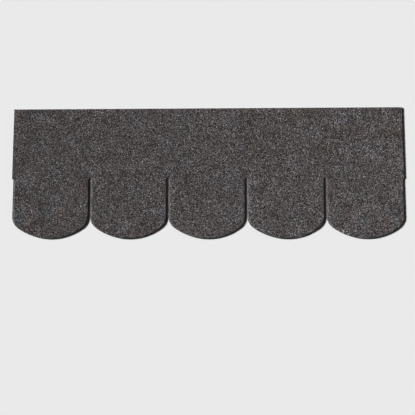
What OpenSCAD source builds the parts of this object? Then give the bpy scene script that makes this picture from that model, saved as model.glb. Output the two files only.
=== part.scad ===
// Beaver-tail asphalt shingle strip: a plain head lap and a row of round-ended tabs, die cut from one sheet.
// It lies flat: X runs along the strip, Y up the slope towards the head edge, Z out of the granule face.
// The origin is under the middle of the strip.

/* [Strip] */
// Length of the strip, across the slope
strip_length = 1000; // [900:10:1200]
// Height of the strip, from the tips of the tabs to the head edge
strip_height = 336; // [300:1:400]
// Thickness of the sheet, over its granules
strip_thickness = 3; // [2:0.1:6]

/* [Tabs] */
// Number of tabs along the strip
tab_count = 5; // [3:1:6]
// Length of a tab, from the foot of the head lap to its tip
tab_length = 150; // [120:1:180]
// Depth of the rounded end of a tab
tab_end_depth = 57; // [46:1:66]
// Radius of the two shoulders of a tab's end
shoulder_radius = 37; // [12:1:44]

/* [Slots] */
// Width of the slot between two tabs, with half a slot at each end of the strip
slot_width = 6; // [3:0.5:12]

/* [Hidden] */

// Smoothness of the preview
$fn = 120;

granule_grey = [0.31, 0.295, 0.294];

// Places along Y, in the strip's own frame
tip_y = -strip_height / 2;
spring_y = tip_y + tab_end_depth;
foot_y = tip_y + tab_length;
head_lap = strip_height - tab_length;

// The tabs share the length, and each gives up half a slot on both sides
tab_pitch = strip_length / tab_count;
tab_half = (tab_pitch - slot_width) / 2;
shank_length = tab_length - tab_end_depth;

// A tab's end is a three-centred arch: a wide crown arc that runs smoothly into two shoulder arcs.
// The crown's radius is the one at which it touches both shoulders and reaches the tab's tip.
shoulder_x = tab_half - shoulder_radius;
crown_radius = (pow(shoulder_x, 2) + pow(tab_end_depth, 2) - pow(shoulder_radius, 2))
    / (2 * (tab_end_depth - shoulder_radius));
crown_y = crown_radius - tab_end_depth;

// The lines from the crown's centre through the shoulders' centres are where one arc takes over from the next.
// They are drawn on to a level well past the tip.
past_tip_y = -2 * tab_end_depth;
past_tip_x = shoulder_x * (crown_y - past_tip_y) / crown_y;

// One shoulder of a tab's end: the slice of a disc between the tab's side and the crown
module shoulder() {
    intersection() {
        translate([shoulder_x, 0]) circle(shoulder_radius);
        polygon([[shoulder_x, 0], [past_tip_x, past_tip_y], [past_tip_x, 0]]);
    }
}

// The crown of a tab's end: the slice of a wide disc between the two shoulders
module crown() {
    intersection() {
        translate([0, crown_y]) circle(crown_radius);
        polygon([[0, crown_y], [-past_tip_x, past_tip_y], [past_tip_x, past_tip_y]]);
    }
}

// Outline of one tab, with Y = 0 where its straight sides end and the arch begins
module tab_outline() {
    translate([-tab_half, 0]) square([2 * tab_half, shank_length]);
    crown();
    shoulder();
    mirror([1, 0]) shoulder();
}

// Round head of a slot, cut into the foot of the head lap
module slot_head() {
    intersection() {
        circle(d = slot_width);
        translate([-slot_width / 2, 0]) square(slot_width);
    }
}

// Outline of the whole strip
module strip_outline() {
    difference() {
        translate([-strip_length / 2, foot_y]) square([strip_length, head_lap]);
        for (i = [0 : tab_count])
            translate([(i - tab_count / 2) * tab_pitch, foot_y]) slot_head();
    }
    for (i = [0 : tab_count - 1])
        translate([(i - (tab_count - 1) / 2) * tab_pitch, spring_y]) tab_outline();
}

// The strip, cut straight through the sheet
module shingle_strip() {
    color(granule_grey)
        linear_extrude(strip_thickness)
            strip_outline();
}

shingle_strip();
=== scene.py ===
"""Looks of one beaver-tail asphalt shingle strip: a bitumen sheet faced with crushed mineral granules.

Lengths are in metres, in the part's own frame: X along the strip, Y up the slope, Z out of the granule face.
"""

import logging
import math
from dataclasses import dataclass
from enum import Enum
from typing import ClassVar

import bpy
import numpy as np
from mathutils import Matrix, Vector
from mathutils.geometry import delaunay_2d_cdt


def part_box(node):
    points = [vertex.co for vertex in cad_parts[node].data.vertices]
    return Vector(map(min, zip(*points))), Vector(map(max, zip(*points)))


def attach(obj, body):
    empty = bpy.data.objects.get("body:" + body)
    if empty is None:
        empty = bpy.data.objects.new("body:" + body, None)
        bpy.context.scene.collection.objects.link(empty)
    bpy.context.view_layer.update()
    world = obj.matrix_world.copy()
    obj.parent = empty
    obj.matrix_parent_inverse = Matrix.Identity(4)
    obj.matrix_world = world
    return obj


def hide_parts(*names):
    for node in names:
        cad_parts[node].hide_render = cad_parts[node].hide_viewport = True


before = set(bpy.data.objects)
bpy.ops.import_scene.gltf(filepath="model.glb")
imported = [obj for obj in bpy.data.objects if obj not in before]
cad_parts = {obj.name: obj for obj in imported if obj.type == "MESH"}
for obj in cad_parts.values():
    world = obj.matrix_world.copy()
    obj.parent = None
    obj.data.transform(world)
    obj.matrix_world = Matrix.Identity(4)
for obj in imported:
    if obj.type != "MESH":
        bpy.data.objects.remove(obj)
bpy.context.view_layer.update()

NODE = "shingle_strip"
BODY = "root"
BAKE_MAP = "OFBake"
MM = 0.001
WHITE = (1, 1, 1, 1)

log = logging.getLogger(NODE)

Colour = tuple[float, float, float]
Stretch = tuple[float, float, float]
Point = tuple[float, float]


@dataclass(frozen=True)
class StripOutline:
    """Die-cut outline of the strip: a head lap over a row of round-ended tabs.

    Each tab ends in a three-centred arch, a wide crown arc between two shoulder arcs.
    """

    length: float
    height: float
    tab_count: int = 5
    tab_length: float = 150 * MM
    end_depth: float = 57 * MM
    shoulder_radius: float = 37 * MM
    slot_width: float = 6 * MM
    arc_turn: float = 6.0  # most degrees from one point of a round cut to the next
    nudge: float = 0.1 * MM  # step to either side that shows which way a cut faces

    @property
    def pitch(self) -> float:
        """Distance from one tab to the next."""
        return self.length / self.tab_count

    @property
    def tab_half(self) -> float:
        """Half the width of a tab."""
        return (self.pitch - self.slot_width) / 2

    @property
    def slot_radius(self) -> float:
        """Radius of the round head of a slot."""
        return self.slot_width / 2

    @property
    def tip_y(self) -> float:
        """Level of the tabs' tips."""
        return -self.height / 2

    @property
    def spring_y(self) -> float:
        """Level at which a tab's straight sides end and its arch begins."""
        return self.tip_y + self.end_depth

    @property
    def foot_y(self) -> float:
        """Level of the foot of the head lap, at the heads of the slots."""
        return self.tip_y + self.tab_length

    @property
    def head_y(self) -> float:
        """Level of the head edge."""
        return self.height / 2

    @property
    def shoulder_x(self) -> float:
        """Distance of a shoulder's centre from the middle of its tab."""
        return self.tab_half - self.shoulder_radius

    @property
    def crown_radius(self) -> float:
        """Radius of the crown arc, which touches both shoulders and reaches the tip."""
        across = self.shoulder_x**2 + self.end_depth**2 - self.shoulder_radius**2
        return across / (2 * (self.end_depth - self.shoulder_radius))

    @property
    def crown_rise(self) -> float:
        """Height of the crown's centre above the arch's springing line."""
        return self.crown_radius - self.end_depth

    @property
    def shoulder_turn(self) -> float:
        """Angle that a shoulder arc turns through, from the tab's side to the crown."""
        return math.atan2(self.crown_rise, self.shoulder_x)

    def tab_distance(self, x: np.ndarray, y: np.ndarray) -> np.ndarray:
        """Measures how far points lie inside the cuts round the tabs and the head edge.

        Args:
            x: places along the strip.
            y: places up the slope, of the same shape.

        Returns:
            Distances to the nearest of those cuts, negative outside them, as if the strip had no ends.
        """
        along = x + self.length / 2
        in_tab = np.abs(np.mod(along, self.pitch) - self.pitch / 2)
        from_slot = self.pitch / 2 - in_tab
        below = self.spring_y - y
        side = self.tab_half - in_tab
        crown = self.crown_radius - np.hypot(in_tab, below + self.crown_rise)
        shoulder = self.shoulder_radius - np.hypot(in_tab - self.shoulder_x, below)
        by_shoulder = in_tab * self.crown_rise > (below + self.crown_rise) * self.shoulder_x
        arch = np.where(by_shoulder, shoulder, crown)
        slot_head = np.hypot(from_slot, y - self.foot_y) - self.slot_radius
        head_lap = np.minimum(self.head_y - y, slot_head)
        return np.where(y >= self.foot_y, head_lap, np.where(below > 0, arch, side))

    def end_distance(self, x: np.ndarray) -> np.ndarray:
        """How far points lie inside the nearer end of the strip."""
        return self.length / 2 - np.abs(x)

    def edge_distance(self, x: np.ndarray, y: np.ndarray) -> np.ndarray:
        """How far points lie inside the nearest edge of the strip, negative outside it."""
        return np.minimum(self.tab_distance(x, y), self.end_distance(x))

    def faces_left(self, x: np.ndarray, y: np.ndarray) -> np.ndarray:
        """Tells how squarely the nearest cut round a tab faces the left end of the strip.

        Args:
            x: places along the strip.
            y: places up the slope, of the same shape.

        Returns:
            Numbers from 0 to 1, which are 0 by the two ends of the strip.
        """
        rise = self.tab_distance(x + self.nudge, y) - self.tab_distance(x - self.nudge, y)
        by_cut = self.tab_distance(x, y) <= self.end_distance(x)
        return np.where(by_cut, (rise / (2 * self.nudge)).clip(0, 1), 0)

    def loop(self, step: float) -> np.ndarray:
        """Walks round the outline, with the strip on the left hand.

        Args:
            step: greatest distance between two points.

        Returns:
            Points of the closed loop as rows of x and y, starting at the head edge's left corner.
        """
        half, head = self.length / 2, self.head_y
        turn = math.degrees(self.shoulder_turn)
        points = self._line((-half, head), (-half, self.foot_y + self.slot_radius), step)
        for i in range(self.tab_count):
            middle = (i + 0.5) * self.pitch - half
            left, right = middle - self.tab_half, middle + self.tab_half
            slot = (left - self.slot_radius, self.foot_y)
            points += self._arc(slot, self.slot_radius, 90 if i == 0 else 180, 0, step)
            points += self._line((left, self.foot_y), (left, self.spring_y), step)
            shoulder = (middle - self.shoulder_x, self.spring_y)
            points += self._arc(shoulder, self.shoulder_radius, 180, 180 + turn, step)
            crown = (middle, self.spring_y + self.crown_rise)
            points += self._arc(crown, self.crown_radius, 180 + turn, 360 - turn, step)
            shoulder = (middle + self.shoulder_x, self.spring_y)
            points += self._arc(shoulder, self.shoulder_radius, 360 - turn, 360, step)
            points += self._line((right, self.spring_y), (right, self.foot_y), step)
        points += self._arc((half, self.foot_y), self.slot_radius, 180, 90, step)
        points += self._line((half, self.foot_y + self.slot_radius), (half, head), step)
        points += self._line((half, head), (-half, head), step)
        return np.array(points)

    @staticmethod
    def _line(start: Point, end: Point, step: float) -> list[Point]:
        """Points along a straight cut, without its end."""
        count = max(1, math.ceil(math.dist(start, end) / step))
        return [tuple(Vector(start).lerp(Vector(end), k / count)) for k in range(count)]

    def _arc(self, centre: Point, radius: float, start: float, end: float, step: float) -> list[Point]:
        """Places points along a round cut.

        Args:
            centre: the middle of the circle.
            radius: its radius.
            start: the angle at which the cut starts, in degrees.
            end: the angle at which it ends, in degrees.
            step: greatest distance between two points.

        Returns:
            The points, without the last one.
        """
        first, last = np.radians([start, end])
        most = min(step / radius, math.radians(self.arc_turn))
        count = max(1, math.ceil(abs(last - first) / most))
        turns = first + (last - first) * np.arange(count) / count
        return [(centre[0] + radius * math.cos(t), centre[1] + radius * math.sin(t)) for t in turns]


@dataclass(frozen=True)
class Stone:
    """One colour of crushed stone, and its share of the blend."""

    share: float
    colour: Colour


@dataclass(frozen=True)
class StoneBlend:
    """The colours of stone that are mixed on one face."""

    stones: tuple[Stone, ...]

    @property
    def starts(self) -> list[float]:
        """Where each stone's share begins, when they are set side by side from 0 to 1."""
        return [sum(stone.share for stone in self.stones[:k]) for k in range(len(self.stones))]


GREY_BLEND = StoneBlend(
    (
        Stone(0.27, (0.0120, 0.0109, 0.0110)),
        Stone(0.15, (0.046, 0.0418, 0.0420)),
        Stone(0.20, (0.112, 0.1020, 0.1020)),
        Stone(0.17, (0.193, 0.1755, 0.1755)),
        Stone(0.12, (0.281, 0.2555, 0.2590)),
        Stone(0.07, (0.374, 0.3400, 0.3415)),
        Stone(0.02, (0.580, 0.5275, 0.5300)),
    )
)
FINES_BLEND = StoneBlend(
    (
        Stone(0.40, (0.011, 0.0104, 0.0104)),
        Stone(0.30, (0.040, 0.0375, 0.037)),
        Stone(0.21, (0.090, 0.083, 0.081)),
        Stone(0.09, (0.170, 0.158, 0.154)),
    )
)
SAND_BLEND = StoneBlend(
    (
        Stone(0.50, (0.012, 0.0115, 0.011)),
        Stone(0.24, (0.036, 0.034, 0.032)),
        Stone(0.18, (0.110, 0.102, 0.094)),
        Stone(0.08, (0.300, 0.280, 0.255)),
    )
)


class NodeBoard:
    """A new material and short calls that add and join its nodes."""

    NOISE_DETAIL: ClassVar[float] = 3.0
    NOISE_ROUGHNESS: ClassVar[float] = 0.55
    NOISE_MIDDLE: ClassVar[tuple[float, float]] = (0.3, 0.7)  # bounds that such noise seldom leaves

    def __init__(self, name: str) -> None:
        """Starts the material with one plain surface shader.

        Args:
            name: the material's name.
        """
        self.material = bpy.data.materials.new(name)
        self.material.use_nodes = True
        self.tree = self.material.node_tree
        self.surface = self.tree.nodes["Principled BSDF"]

    def add(self, kind: str, values: dict[str, object] | None = None, **settings: object) -> bpy.types.Node:
        """Adds one node.

        Args:
            kind: Blender's name for the node.
            values: numbers and colours for its sockets, by name.
            settings: the node's own settings.

        Returns:
            The new node.
        """
        node = self.tree.nodes.new(kind)
        for name, value in settings.items():
            setattr(node, name, value)
        for name, value in (values or {}).items():
            node.inputs[name].default_value = value
        return node

    def join(self, source: bpy.types.NodeSocket, target: bpy.types.NodeSocket) -> None:
        """Links an output to an input."""
        self.tree.links.new(source, target)

    def paint(self, colour: bpy.types.NodeSocket) -> None:
        """Gives the surface its colour."""
        self.join(colour, self.surface.inputs["Base Color"])

    def gloss(self, roughness: float, shine: float) -> None:
        """Sets how rough the surface is and how much it shines."""
        self.surface.inputs["Roughness"].default_value = roughness
        self.surface.inputs["Specular IOR Level"].default_value = shine

    def bump(self, height: bpy.types.NodeSocket, depth: float) -> None:
        """Gives the surface fine relief.

        Args:
            height: an output between 0 and 1.
            depth: how far apart those two lie, where less than nothing turns the relief over.
        """
        node = self.add("ShaderNodeBump", {"Distance": depth})
        self.join(height, node.inputs["Height"])
        self.join(node.outputs["Normal"], self.surface.inputs["Normal"])

    def places(self) -> bpy.types.NodeSocket:
        """Places in the part's own frame, in metres."""
        return self.add("ShaderNodeTexCoord").outputs["Object"]

    def noise(self, size: float, stretch: Stretch = (1, 1, 1)) -> bpy.types.NodeSocket:
        """Makes soft noise with blotches of about a given size.

        Args:
            size: breadth of a blotch in metres.
            stretch: how fast the noise runs along X, Y and Z, where less makes it longer.

        Returns:
            An output between 0 and 1.
        """
        scale = self.add("ShaderNodeMapping", {"Scale": [step / size for step in stretch]})
        self.join(self.places(), scale.inputs["Vector"])
        values = {"Scale": 1.0, "Detail": self.NOISE_DETAIL, "Roughness": self.NOISE_ROUGHNESS}
        node = self.add("ShaderNodeTexNoise", values)
        self.join(scale.outputs["Vector"], node.inputs["Vector"])
        return node.outputs["Fac"]

    def spread(self, noise: bpy.types.NodeSocket, low: float, high: float) -> bpy.types.NodeSocket:
        """Stretches the middle of a noise between two numbers.

        Args:
            noise: the noise's output.
            low: the number where the noise is low.
            high: the number where it is high.

        Returns:
            An output between those numbers.
        """
        least, most = self.NOISE_MIDDLE
        values = {"From Min": least, "From Max": most, "To Min": low, "To Max": high}
        node = self.add("ShaderNodeMapRange", values)
        self.join(noise, node.inputs["Value"])
        return node.outputs["Result"]

    def steps(self, value: bpy.types.NodeSocket, blend: StoneBlend) -> bpy.types.NodeSocket:
        """Picks a stone's colour by a number, each stone as often as its share.

        Args:
            value: an output between 0 and 1.
            blend: the stones to pick from.

        Returns:
            The colour's output.
        """
        node = self.add("ShaderNodeValToRGB")
        ramp = node.color_ramp
        ramp.interpolation = "CONSTANT"
        ready = len(ramp.elements)
        for k, (stone, start) in enumerate(zip(blend.stones, blend.starts)):
            element = ramp.elements[k] if k < ready else ramp.elements.new(start)
            element.position = start
            element.color = (*stone.colour, 1)
        self.join(value, node.inputs["Fac"])
        return node.outputs["Color"]

    def times(self, colour: bpy.types.NodeSocket, by: bpy.types.NodeSocket) -> bpy.types.NodeSocket:
        """Multiplies a colour.

        Args:
            colour: the colour's output.
            by: the output of another colour or of a number.

        Returns:
            The product's output.
        """
        node = self.add("ShaderNodeVectorMath", operation="MULTIPLY")
        self.join(colour, node.inputs[0])
        self.join(by, node.inputs[1])
        return node.outputs["Vector"]

    def between(self, noise: bpy.types.NodeSocket, start: Colour, end: Colour) -> bpy.types.NodeSocket:
        """Makes a colour that a noise moves from one colour to another.

        Args:
            noise: the noise's output.
            start: the colour where the noise is low.
            end: the colour where it is high.

        Returns:
            The colour's output.
        """
        node = self.add("ShaderNodeMix", data_type="RGBA")
        colours = [socket for socket in node.inputs if socket.type == "RGBA"]
        for socket, colour in zip(colours, (start, end)):
            socket.default_value = (*colour, 1)
        self.join(self.spread(noise, 0, 1), node.inputs["Factor"])
        return next(socket for socket in node.outputs if socket.type == "RGBA")


@dataclass(frozen=True)
class GranuleFinish:
    """Crushed granules: one stone a granule, fine grain on each, and soft blotches and tints over many."""

    name: str = "granules"
    blend: StoneBlend = GREY_BLEND
    pick: str = "stone_pick"  # the mesh's own numbers that pick each granule's stone
    blotch_size: float = 40 * MM
    blotch_low: float = 0.74
    blotch_high: float = 1.26
    tint_size: float = 42 * MM
    warm: Colour = (1.085, 1.00, 0.925)
    cool: Colour = (0.94, 1.00, 1.07)
    grain_size: float = 0.45 * MM
    grain_low: float = 0.65
    grain_high: float = 1.35
    grain_depth: float = 0.14 * MM
    roughness: float = 0.82
    shine: float = 0.02

    def material(self) -> bpy.types.Material:
        """Mixes the stones' colours and roughens their faces.

        Returns:
            The material.
        """
        board = NodeBoard(self.name)
        pick = board.add("ShaderNodeAttribute", attribute_name=self.pick)
        stone = board.steps(pick.outputs["Fac"], self.blend)
        blotch = board.spread(board.noise(self.blotch_size), self.blotch_low, self.blotch_high)
        tint = board.between(board.noise(self.tint_size), self.warm, self.cool)
        toned = board.times(board.times(stone, tint), blotch)
        grain = board.noise(self.grain_size)
        board.paint(board.times(toned, board.spread(grain, self.grain_low, self.grain_high)))
        board.bump(grain, self.grain_depth)
        board.gloss(self.roughness, self.shine)
        return board.material


@dataclass(frozen=True)
class FinesFinish:
    """The face of the sheet between the granules: bitumen set with stone dust and small chips."""

    name: str = "fines"
    blend: StoneBlend = FINES_BLEND
    chip_size: float = 0.7 * MM
    relief: float = 0.25 * MM
    roughness: float = 0.75
    shine: float = 0.05

    def material(self) -> bpy.types.Material:
        """Sets small chips of the blend side by side, each raised in its middle.

        Returns:
            The material.
        """
        board = NodeBoard(self.name)
        cells = board.add("ShaderNodeTexVoronoi", {"Scale": 1 / self.chip_size})
        board.join(board.places(), cells.inputs["Vector"])
        split = board.add("ShaderNodeSeparateColor")
        board.join(cells.outputs["Color"], split.inputs["Color"])
        board.paint(self.toned(board, board.steps(split.outputs["Red"], self.blend)))
        board.bump(cells.outputs["Distance"], -self.relief)
        board.gloss(self.roughness, self.shine)
        return board.material

    def toned(self, board: NodeBoard, chips: bpy.types.NodeSocket) -> bpy.types.NodeSocket:
        """The chips' colours, even over the whole face."""
        return chips


@dataclass(frozen=True)
class SandedFinish(FinesFinish):
    """The underside: bitumen dusted with sand, unevenly in patches and in streaks along the strip."""

    name: str = "sanded_back"
    blend: StoneBlend = SAND_BLEND
    chip_size: float = 0.8 * MM
    relief: float = 0.15 * MM
    roughness: float = 0.85
    patch_size: float = 45 * MM
    patch_low: float = 0.6
    patch_high: float = 1.4
    streak_size: float = 7 * MM
    streak_stretch: float = 0.04  # how fast a streak changes along the strip, to 1 across it
    streak_low: float = 0.65
    streak_high: float = 1.35

    def toned(self, board: NodeBoard, chips: bpy.types.NodeSocket) -> bpy.types.NodeSocket:
        """Makes the sand's colours lighter where more of it lies.

        Args:
            board: the material's nodes.
            chips: the output of the sand's colours.

        Returns:
            The output of the new colours.
        """
        patches = board.noise(self.patch_size)
        streaks = board.noise(self.streak_size, stretch=(self.streak_stretch, 1, 1))
        patched = board.times(chips, board.spread(patches, self.patch_low, self.patch_high))
        return board.times(patched, board.spread(streaks, self.streak_low, self.streak_high))


@dataclass(frozen=True)
class CutFinish:
    """The die-cut edge: black filled bitumen, torn into fine upright streaks."""

    name: str = "cut_bitumen"
    dark: Colour = (0.008, 0.0075, 0.007)
    pale: Colour = (0.040, 0.037, 0.034)
    streak_size: float = 1.0 * MM
    upright: float = 0.3  # how fast a streak changes upward, to 1 along the edge
    relief: float = 0.2 * MM
    roughness: float = 0.65
    shine: float = 0.3

    def material(self) -> bpy.types.Material:
        """Streaks the edge in colour and relief.

        Returns:
            The material.
        """
        board = NodeBoard(self.name)
        streaks = board.noise(self.streak_size, stretch=(1, 1, self.upright))
        board.paint(board.between(streaks, self.dark, self.pale))
        board.bump(streaks, self.relief)
        board.gloss(self.roughness, self.shine)
        return board.material


def add_object(name: str, data: bpy.types.ID) -> bpy.types.Object:
    """Makes an object of a mesh, a light or a camera and puts it in the scene.

    Args:
        name: the object's name.
        data: what it is made of.

    Returns:
        The object.
    """
    thing = bpy.data.objects.new(name, data)
    bpy.context.scene.collection.objects.link(thing)
    return thing


def mesh_object(name: str, points: np.ndarray, triangles: np.ndarray) -> bpy.types.Object:
    """Makes a flat-shaded mesh object from arrays and puts it in the scene.

    Args:
        name: the object's name.
        points: rows of x, y and z.
        triangles: rows of three point numbers.

    Returns:
        The object.
    """
    mesh = bpy.data.meshes.new(name)
    mesh.vertices.add(len(points))
    mesh.vertices.foreach_set("co", points.astype(np.float32).ravel())
    mesh.loops.add(triangles.size)
    mesh.loops.foreach_set("vertex_index", triangles.astype(np.int32).ravel())
    mesh.polygons.add(len(triangles))
    mesh.polygons.foreach_set("loop_start", np.arange(0, triangles.size, 3, dtype=np.int32))
    mesh.polygons.foreach_set("use_smooth", np.zeros(len(triangles), bool))
    mesh.update(calc_edges=True)
    return add_object(name, mesh)


@dataclass(frozen=True)
class SheetSection:
    """Section of the sheet at its cut edge, where the face rolls over.

    The die presses each tab's left side down in a wide soft roll and leaves the other edges nearly square.
    """

    thickness: float
    coat_depth: float = 0.5 * MM
    narrow_width: float = 1.4 * MM
    narrow_drop: float = 0.05 * MM
    wide_width: float = 7.5 * MM
    wide_drop: float = 1.25 * MM

    @property
    def top(self) -> float:
        """Height of the sheet's face, under the granules."""
        return self.thickness - self.coat_depth

    def roll_width(self, pressed: np.ndarray) -> np.ndarray:
        """Breadth of the roll, by how far the edge is a pressed one."""
        return self.narrow_width + (self.wide_width - self.narrow_width) * pressed

    def face_height(self, inside: np.ndarray, pressed: np.ndarray) -> np.ndarray:
        """Measures the height of the sheet's face.

        Args:
            inside: distances inside the cut edge.
            pressed: how far that edge is a pressed one, from 0 to 1.

        Returns:
            Heights over the underside.
        """
        share = np.clip(1 - inside / self.roll_width(pressed), 0, 1)
        drop = self.narrow_drop + (self.wide_drop - self.narrow_drop) * pressed
        return self.top - drop * share**2 * (3 - 2 * share)


@dataclass
class BitumenSheet:
    """The sheet itself, with a torn cut edge and a rolled-over upper rim."""

    outline: StripOutline
    section: SheetSection
    step: float = 1.4 * MM  # greatest distance between two points of the cut edge
    tear: float = 0.14 * MM  # how ragged each line along the cut edge is
    bite: float = 0.30 * MM  # how far the die tears the edge back as a whole
    bite_points: int = 5  # points over which a bite is evened out
    heel: float = 0.25 * MM  # bevel round the underside
    wall_lines: int = 5
    roll_shares: tuple[float, ...] = (0.3, 0.45, 0.6, 0.75, 0.9, 1.0)  # of its breadth, for each line
    weld: float = 1e-5 * MM  # distance at which two points of a face count as one
    seed: int = 11
    name: str = "bitumen_sheet"

    def build(self) -> bpy.types.Object:
        """Raises the cut edge from the underside to the rim, and closes it with the rolled face.

        Returns:
            The sheet's object.
        """
        loop = self.outline.loop(self.step)
        inward = self._inward(loop)
        pressed = self.outline.faces_left(*(loop + inward * self.heel).T)
        rim = self.section.face_height(np.zeros(len(loop)), pressed)
        rng = np.random.default_rng(self.seed)
        bites = self._bites(len(loop), rng)
        rings = [self._ring(loop, inward, self.heel, np.zeros(len(loop)))]
        for share in np.linspace(0, 1, self.wall_lines):
            ragged = bites + self.tear * rng.random(len(loop))
            rings.append(self._ring(loop, inward, ragged, self.heel + (rim - self.heel) * share))
        return self._close(rings, self._roll_points(loop, inward, pressed))

    def _bites(self, count: int, rng: np.random.Generator) -> np.ndarray:
        """Draws how far the die has torn the edge back at each point, evenly over a few points at a time."""
        rough = rng.random(count + self.bite_points - 1)
        return self.bite * np.convolve(rough, np.full(self.bite_points, 1 / self.bite_points), "valid")

    def _ring(
        self, loop: np.ndarray, inward: np.ndarray, inset: np.ndarray | float, height: np.ndarray
    ) -> np.ndarray:
        """Draws the outline in and lifts it, with its ends kept parallel to the strip's.

        Args:
            loop: points of the outline.
            inward: directions into the sheet.
            inset: how far each point is drawn in.
            height: the height of each point.

        Returns:
            Rows of x, y and z.
        """
        inset = np.broadcast_to(inset, len(loop))
        ring = loop + inward * inset[:, None]
        end = self.outline.length / 2 - inset
        return np.column_stack([ring[:, 0].clip(-end, end), ring[:, 1], height])

    def _roll_points(self, loop: np.ndarray, inward: np.ndarray, pressed: np.ndarray) -> np.ndarray:
        """Places points of the face on lines that follow the cut, where no other edge is nearer.

        Args:
            loop: points of the outline.
            inward: directions into the sheet.
            pressed: how far the edge is a pressed one at each point.

        Returns:
            Rows of x, y and z.
        """
        points = []
        for share in self.roll_shares:
            inset = share * self.section.roll_width(pressed)
            line = loop + inward * inset[:, None]
            inside = self.outline.edge_distance(*line.T)
            nearest = np.abs(inside - inset) < self.tear / 2
            height = self.section.face_height(inset, pressed)
            points.append(np.column_stack([line, height])[nearest])
        return np.concatenate(points)

    @staticmethod
    def _inward(loop: np.ndarray) -> np.ndarray:
        """Finds the directions into the sheet, longer at corners so that insets stay parallel to the cuts.

        Args:
            loop: points of the outline, with the strip on the left hand.

        Returns:
            Rows of x and y, one for each point.
        """
        along = np.roll(loop, -1, axis=0) - loop
        along /= np.linalg.norm(along, axis=1)[:, None]
        left = np.column_stack([-along[:, 1], along[:, 0]])
        before = np.roll(left, 1, axis=0)
        return (left + before) / (1 + (left * before).sum(axis=1))[:, None]

    def _close(self, rings: list[np.ndarray], inner: np.ndarray) -> bpy.types.Object:
        """Joins the rings with faces, closes the underside and the face, and gives each its finish.

        Args:
            rings: lines round the cut edge, from the underside to the rim.
            inner: points of the face inside the rim.

        Returns:
            The sheet's object.
        """
        count = len(rings[0])
        here = np.arange(count)
        after = np.roll(here, -1)
        rim = (len(rings) - 1) * count
        finishes = (CutFinish(), FinesFinish(), SandedFinish())
        cut, fines, sanded = range(len(finishes))
        faces = [face[::-1] for face in self._fill(rings[0])]
        numbers = [sanded] * len(faces)
        for low in range(0, rim, count):
            high = low + count
            faces += np.column_stack([low + here, low + after, high + after, high + here]).tolist()
            numbers += [cut] * count
        rolled = self._fill(rings[-1], inner)
        faces += [[rim + corner for corner in face] for face in rolled]
        numbers += [fines] * len(rolled)
        mesh = bpy.data.meshes.new(self.name)
        mesh.from_pydata(np.concatenate([*rings, inner]).tolist(), [], faces)
        for finish in finishes:
            mesh.materials.append(finish.material())
        mesh.polygons.foreach_set("material_index", numbers)
        mesh.update()
        return add_object(self.name, mesh)

    def _fill(self, ring: np.ndarray, inner: np.ndarray | None = None) -> list[list[int]]:
        """Fills a ring with triangles, anticlockwise as seen from above.

        Args:
            ring: the points round the edge, anticlockwise.
            inner: points inside the ring, or none.

        Returns:
            Point numbers of each triangle, where those of the inner points follow on from the ring's.
        """
        points = ring if inner is None else np.concatenate([ring, inner])
        plan = [Vector(place) for place in points[:, :2]]
        edge = list(range(len(ring)))
        inside_only = 1
        _, _, found, sources, _, _ = delaunay_2d_cdt(plan, [], [edge], inside_only, self.weld)
        return [[sources[corner][0] for corner in face] for face in found]

    def dress(self) -> bpy.types.Object:
        """Builds the sheet and sets it in the frame, in the place of the CAD strip.

        Returns:
            The sheet's object.
        """
        piece = self.build()
        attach(piece, BODY)
        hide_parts(NODE)
        return piece


@dataclass(frozen=True)
class ChipForm:
    """How a chip rises from its base, whose corners stand at 45, 135, 225 and 315 degrees.

    Its points are numbered round the base first and then round the top.
    """

    BASE: ClassVar[int] = 4  # corners of the base

    top_angles: tuple[float, ...]
    top_reach: float  # of the top points from the chip's middle, as a share of its radius
    sides: tuple[tuple[int, int, int], ...]

    @property
    def triangles(self) -> np.ndarray:
        """The closed chip's triangles, with the two under its base."""
        return np.array(self.sides + ((0, 3, 2), (0, 2, 1)))


class ChipShape(Enum):
    """The forms that crushed granules break into."""

    PEAK = ChipForm((0,), 0.0, ((0, 1, 4), (1, 2, 4), (2, 3, 4), (3, 0, 4)))
    RIDGE = ChipForm((0, 180), 0.45, ((0, 1, 5), (0, 5, 4), (1, 2, 5), (2, 3, 4), (2, 4, 5), (3, 0, 4)))
    SLAB = ChipForm(
        (30, 150, 270),
        0.5,
        ((0, 1, 4), (1, 5, 4), (1, 2, 5), (2, 6, 5), (2, 3, 6), (3, 4, 6), (3, 0, 4), (4, 5, 6)),
    )


@dataclass(frozen=True)
class Granules:
    """A set of granules: their places in plan, radii, picks of stone and numbers of form."""

    centres: np.ndarray
    radii: np.ndarray
    picks: np.ndarray
    forms: np.ndarray

    def some(self, chosen: np.ndarray) -> "Granules":
        """The granules that numbers, or marks of true and false, choose."""
        return Granules(self.centres[chosen], self.radii[chosen], self.picks[chosen], self.forms[chosen])


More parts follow.
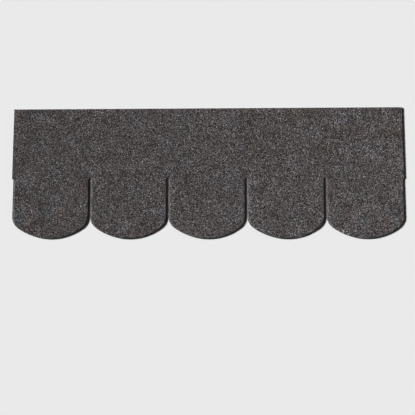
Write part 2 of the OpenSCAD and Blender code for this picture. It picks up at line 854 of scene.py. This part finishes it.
@dataclass
class GranuleCoat:
    """The granules pressed into the face, scattered evenly and set in bands along the strip."""

    outline: StripOutline
    section: SheetSection
    finish: GranuleFinish = GranuleFinish()
    spacing: float = 1.8 * MM
    wander: float = 0.34  # how far a granule strays each way, as a share of the spacing
    bare_share: float = 0.015  # of the granules, which have come off
    edge_zone: float = 1.3 * MM
    edge_loss: float = 0.10  # the share that has come off in the edge zone
    reach: float = 0.68  # usual radius, as a share of the spacing
    size_spread: float = 0.2
    smallest: float = 0.6  # least and greatest size, to 1 for the usual one
    largest: float = 1.4
    shape_shares: tuple[float, ...] = (0.35, 0.40, 0.25)
    corner_swing: float = 0.35  # radians that a base corner strays each way
    corner_least: float = 0.75  # least reach of a base corner, as a share of the radius
    lean: float = 0.25  # how far a top point strays each way, as a share of the radius
    lowest: float = 0.20  # least and greatest rise, as shares of the radius
    highest: float = 0.46
    top_least: float = 0.75  # least height of a top point, as a share of the rise
    least_edge: float = 0.65 * MM  # least distance of a granule's middle from the cut
    overhang: float = 0.15 * MM  # how far a granule may stand over the cut
    cut_back: float = 0.45 * MM  # how far inside the cut the die may trim one
    sink: float = 0.15 * MM  # how deep its base lies in the bitumen
    cluster_size: float = 2.5 * MM
    clustering: float = 0.12  # how much its cluster sets a granule's stone, from 0 to 1
    painted_highlight_zone: float = 6.0 * MM  # breadth of the painted highlight along a tab's left cut, which faces the key lamp
    painted_highlight_lift: float = 0.72  # how far the painted highlight moves granules there towards the palest stone at the cut, from 0 to 1
    bands: int = 5
    cell_fill: float = 0.7  # how much of its cell a granule takes up on the map
    seed: int = 5

    def scatter(self, rng: np.random.Generator) -> tuple[np.ndarray, np.ndarray]:
        """Places the granules on a loosened honeycomb inside the outline.

        Args:
            rng: source of the random draws.

        Returns:
            Centres as rows of x and y, and radii.
        """
        row_gap = self.spacing * math.sqrt(3) / 2
        rows = np.arange(self.outline.tip_y, self.outline.head_y, row_gap)
        columns = np.arange(-self.outline.length / 2, self.outline.length / 2, self.spacing)
        x, y = np.meshgrid(columns, rows)
        x[1::2] += self.spacing / 2
        centres = np.column_stack([x.ravel(), y.ravel()])
        centres += rng.uniform(-self.wander, self.wander, centres.shape) * self.spacing
        inside = self.outline.edge_distance(*centres.T)
        lost = np.where(inside < self.edge_zone, self.edge_loss, self.bare_share)
        kept = (inside > self.least_edge) & (rng.random(len(centres)) > lost)
        sizes = np.exp(rng.normal(0, self.size_spread, len(centres))).clip(self.smallest, self.largest)
        radii = sizes * self.spacing * self.reach
        return centres[kept], radii[kept]

    def picks(self, centres: np.ndarray, rng: np.random.Generator) -> np.ndarray:
        """Draws which stone each granule is of, so that like stones lie in small clusters.

        Args:
            centres: rows of x and y.
            rng: source of the random draws.

        Returns:
            Even numbers between 0 and 1, one for each granule.
        """
        cell = (centres - centres.min(axis=0)) / self.cluster_size
        corner = np.floor(cell).astype(int)
        field = rng.normal(size=corner.max(axis=0) + 2)
        part = cell - corner
        local = np.zeros(len(centres))
        for dx, dy in ((0, 0), (0, 1), (1, 0), (1, 1)):
            share = np.abs(1 - dx - part[:, 0]) * np.abs(1 - dy - part[:, 1])
            local += share * field[corner[:, 0] + dx, corner[:, 1] + dy]
        own = rng.normal(size=len(centres)) * math.sqrt(1 - self.clustering**2)
        draw = own + self.clustering * local / local.std()
        return (np.argsort(np.argsort(draw)) + 0.5) / len(draw)

    def _painted_highlight(self, picks: np.ndarray, centres: np.ndarray) -> np.ndarray:
        """Paints a highlight: moves the granules along each tab's left cut, which faces the key lamp,
        towards the paler stones.

        Args:
            picks: numbers between 0 and 1 that pick each granule's stone.
            centres: rows of x and y.

        Returns:
            The new numbers.
        """
        inside = self.outline.edge_distance(*centres.T)
        share = np.clip(1 - inside / self.painted_highlight_zone, 0, 1) * self.outline.faces_left(*centres.T)
        # painted highlight: paler stones where the left cuts catch the light
        return picks + self.painted_highlight_lift * share * (1 - picks)

    def chips(
        self, form: ChipForm, centres: np.ndarray, radii: np.ndarray, rng: np.random.Generator
    ) -> tuple[np.ndarray, np.ndarray]:
        """Forms one closed chip of stone at each centre.

        Args:
            form: the form of these chips.
            centres: rows of x and y.
            radii: their radii.
            rng: source of the random draws.

        Returns:
            Points, as an array of chips by points by x, y and z, and each point's place in plan from its
            centre.
        """
        count, tops = len(centres), len(form.top_angles)
        turn = rng.uniform(0, 2 * math.pi, (count, 1))
        swing = rng.uniform(-self.corner_swing, self.corner_swing, (count, form.BASE))
        corner = turn + (np.arange(form.BASE) + 0.5) * math.pi / 2 + swing
        reach = radii[:, None] * rng.uniform(self.corner_least, 1.0, (count, form.BASE))
        base = np.stack([reach * np.cos(corner), reach * np.sin(corner)], axis=2)
        top = turn + np.radians(form.top_angles)
        ridge = np.stack([np.cos(top), np.sin(top)], axis=2) * form.top_reach
        lean = rng.uniform(-self.lean, self.lean, (count, tops, 2))
        whole = np.concatenate([base, (ridge + lean) * radii[:, None, None]], axis=1)
        plan = self._trim(centres, whole, rng.uniform(-self.overhang, self.cut_back, (count, 1)))
        corner_box = np.array([self.outline.length / 2, self.outline.height / 2])
        places = (centres[:, None, :] + plan).clip(-corner_box, corner_box)
        x, y = places[..., 0], places[..., 1]
        face = self.section.face_height(self.outline.edge_distance(x, y), self.outline.faces_left(x, y))
        rise = rng.uniform(self.lowest, self.highest, (count, 1)) * radii[:, None]
        rise = rise * rng.uniform(self.top_least, 1.0, (count, tops))
        height = np.concatenate([np.full((count, form.BASE), -self.sink), rise], axis=1)
        level = np.minimum(face + height, self.section.thickness)
        return np.concatenate([places, level[..., None]], axis=2), plan

    def _trim(self, centres: np.ndarray, plan: np.ndarray, margin: np.ndarray) -> np.ndarray:
        """Draws points that lie past the die's cut back towards their granules' centres.

        Args:
            centres: rows of x and y.
            plan: the points' places from their centres.
            margin: how far inside the cut each granule ends, negative where it stands over the cut.

        Returns:
            The points' new places from their centres.
        """
        places = centres[:, None, :] + plan
        room = self.outline.edge_distance(*centres.T)[:, None]
        reached = room - self.outline.edge_distance(places[..., 0], places[..., 1])
        kept = np.divide(room - margin, reached, out=np.ones_like(reached), where=reached > room - margin)
        return plan * kept[..., None]

    def build(self) -> list[bpy.types.Object]:
        """Draws all the granules and makes them up in bands.

        Returns:
            The bands' objects, from the tips of the tabs to the head edge.
        """
        rng = np.random.default_rng(self.seed)
        centres, radii = self.scatter(rng)
        # the picks carry a painted highlight along the tabs' left cuts
        picks = self._painted_highlight(self.picks(centres, rng), centres)
        forms = rng.choice(len(ChipShape), len(centres), p=self.shape_shares)
        granules = Granules(centres, radii, picks, forms)
        upward = np.argsort(centres[:, 1], kind="stable")
        material = self.finish.material()
        bands = []
        for number, members in enumerate(np.array_split(upward, self.bands), start=1):
            band = self._band(f"granule_band_{number}", granules.some(members), rng)
            band.data.materials.append(material)
            bands.append(band)
        return bands

    def _band(self, name: str, granules: Granules, rng: np.random.Generator) -> bpy.types.Object:
        """Joins granules in one mesh, with the picks of their stones and a map for their colours.

        Args:
            name: the band's name.
            granules: those that lie in it.
            rng: source of the random draws.

        Returns:
            The band's object.
        """
        cells, side = self._cells(granules.centres)
        points, triangles, flats, stones = [], [], [], []
        first = 0
        for number, shape in enumerate(ChipShape):
            alike = granules.forms == number
            chosen = granules.some(alike)
            chip, plan = self.chips(shape.value, chosen.centres, chosen.radii, rng)
            count, corners = plan.shape[:2]
            start = first + np.arange(count) * corners
            triangles.append((start[:, None, None] + shape.value.triangles).reshape(-1, 3))
            points.append(chip.reshape(-1, 3))
            within = 0.5 * (1 + self.cell_fill * plan / chosen.radii[:, None, None])
            flats.append(((cells[alike][:, None] + within) / side).reshape(-1, 2))
            stones.append(np.repeat(chosen.picks, corners))
            first += count * corners
        faces = np.concatenate(triangles)
        band = mesh_object(name, np.concatenate(points), faces)
        stone = band.data.attributes.new(self.finish.pick, "FLOAT", "POINT")
        stone.data.foreach_set("value", np.concatenate(stones).astype(np.float32))
        layer = band.data.uv_layers.new(name=BAKE_MAP)
        layer.uv.foreach_set("vector", np.concatenate(flats)[faces.ravel()].astype(np.float32).ravel())
        return band

    @staticmethod
    def _cells(centres: np.ndarray) -> tuple[np.ndarray, int]:
        """Gives each granule of a band a cell of its own on a square map, beside those that it lies beside.

        Args:
            centres: rows of x and y.

        Returns:
            Each granule's column and row, and how many of each the map has.
        """
        side = math.ceil(math.sqrt(len(centres)))
        cells = np.empty(centres.shape)
        for column, members in enumerate(np.array_split(np.argsort(centres[:, 0]), side)):
            upward = members[np.argsort(centres[members, 1])]
            cells[upward] = np.column_stack([np.full(len(upward), column), np.arange(len(upward))])
        return cells, side

    def dress(self) -> list[bpy.types.Object]:
        """Builds the bands and sets them in the frame.

        Returns:
            The bands' objects.
        """
        bands = self.build()
        for band in bands:
            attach(band, BODY)
        return bands


@dataclass(frozen=True)
class Lamp:
    """A broad far lamp, with its angles in degrees."""

    name: str
    azimuth: float
    elevation: float
    level: float  # how bright it makes a level white face
    softness: float  # how wide it looks

    def build(self) -> bpy.types.Object:
        """Puts the lamp in the scene.

        Returns:
            The lamp's object.
        """
        turn, rise = math.radians(self.azimuth), math.radians(self.elevation)
        data = bpy.data.lights.new(self.name, "SUN")
        data.energy = self.level * math.pi / math.sin(rise)
        data.angle = math.radians(self.softness)
        lamp = add_object(self.name, data)
        towards = Vector((math.cos(turn) * math.cos(rise), math.sin(turn) * math.cos(rise), math.sin(rise)))
        lamp.rotation_mode = "QUATERNION"
        lamp.rotation_quaternion = towards.to_track_quat("Z", "Y")
        return lamp


@dataclass
class Studio:
    """The pale floor, the lamps, the sky and the camera."""

    outline: StripOutline
    key: Lamp = Lamp("key_lamp", 160.0, 18.0, 0.95, 7.0)
    fill: Lamp = Lamp("fill_lamp", 10.0, 10.0, 0.018, 8.0)
    sky_level: float = 0.011
    floor_tone: float = 0.84
    floor_roughness: float = 0.9
    floor_shine: float = 0.0
    floor_half: float = 15.0
    floor_gap: float = 0.02 * MM  # between the floor and the strip
    lens: float = 50.0
    sensor: float = 36.0
    image_width: int = 415
    pixels_per_pitch: float = 78.7  # the photograph's scale
    tilt: float = 5.5  # degrees that the camera hangs down the slope from straight above
    yaw: float = 1.3  # degrees that it hangs to the right
    aim: Point = (2.5 * MM, -89 * MM)  # where it looks on the strip

    def floor(self) -> bpy.types.Object:
        """Lays the floor just under the strip.

        Returns:
            The floor's object.
        """
        half = self.floor_half
        corners = ((-half, -half), (half, -half), (half, half), (-half, half))
        points = np.array([(*corner, -self.floor_gap) for corner in corners])
        floor = mesh_object("floor", points, np.array([(0, 1, 2), (0, 2, 3)]))
        board = NodeBoard("floor_paint")
        board.surface.inputs["Base Color"].default_value = (self.floor_tone,) * 3 + (1,)
        board.gloss(self.floor_roughness, self.floor_shine)
        floor.data.materials.append(board.material)
        return floor

    def sky(self) -> None:
        """Sets a dim even sky that the camera sees as pale as the floor."""
        world = bpy.data.worlds.new("studio_sky")
        world.use_nodes = True
        tree = world.node_tree
        light = tree.nodes["Background"]
        seen = tree.nodes.new("ShaderNodeBackground")
        for background, level in ((light, self.sky_level), (seen, self.floor_tone)):
            background.inputs["Color"].default_value = WHITE
            background.inputs["Strength"].default_value = level
        path = tree.nodes.new("ShaderNodeLightPath")
        mix = tree.nodes.new("ShaderNodeMixShader")
        tree.links.new(path.outputs["Is Camera Ray"], mix.inputs["Fac"])
        tree.links.new(light.outputs["Background"], mix.inputs[1])
        tree.links.new(seen.outputs["Background"], mix.inputs[2])
        tree.links.new(mix.outputs["Shader"], tree.nodes["World Output"].inputs["Surface"])
        bpy.context.scene.world = world

    def camera(self) -> bpy.types.Object:
        """Hangs the camera over the strip at the photograph's scale and tilt.

        Returns:
            The camera's object.
        """
        data = bpy.data.cameras.new("camera")
        data.lens, data.sensor_width = self.lens, self.sensor
        camera = add_object("camera", data)
        focal_pixels = self.lens / self.sensor * self.image_width
        distance = focal_pixels * self.outline.pitch / self.pixels_per_pitch
        away = Vector((math.tan(math.radians(self.yaw)), -math.tan(math.radians(self.tilt)), 1)).normalized()
        right = Vector((0, 1, 0)).cross(away).normalized()
        turn = Matrix((right, away.cross(right), away)).transposed()
        camera.matrix_world = Matrix.LocRotScale(Vector((*self.aim, 0)) + away * distance, turn, None)
        bpy.context.scene.camera = camera
        return camera

    def build(self) -> None:
        """Sets up the whole studio."""
        bpy.context.scene.view_settings.view_transform = "Standard"
        self.camera()
        self.floor()
        self.sky()
        self.key.build()
        self.fill.build()


def main() -> None:
    """Builds the strip's looks around the frame and sets up the studio."""
    logging.basicConfig(level=logging.INFO, format="%(name)s: %(message)s")
    low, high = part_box(NODE)
    # The head edge is straight, so it gives the height exactly, and the facets of the round tips don't.
    outline = StripOutline(length=high.x - low.x, height=2 * high.y)
    section = SheetSection(thickness=high.z - low.z)
    Studio(outline).build()
    pieces = [BitumenSheet(outline, section).dress(), *GranuleCoat(outline, section).dress()]
    for piece in pieces:
        piece.data.calc_loop_triangles()
        log.info("%s: %d triangles", piece.name, len(piece.data.loop_triangles))


if __name__ == "__main__":
    main()
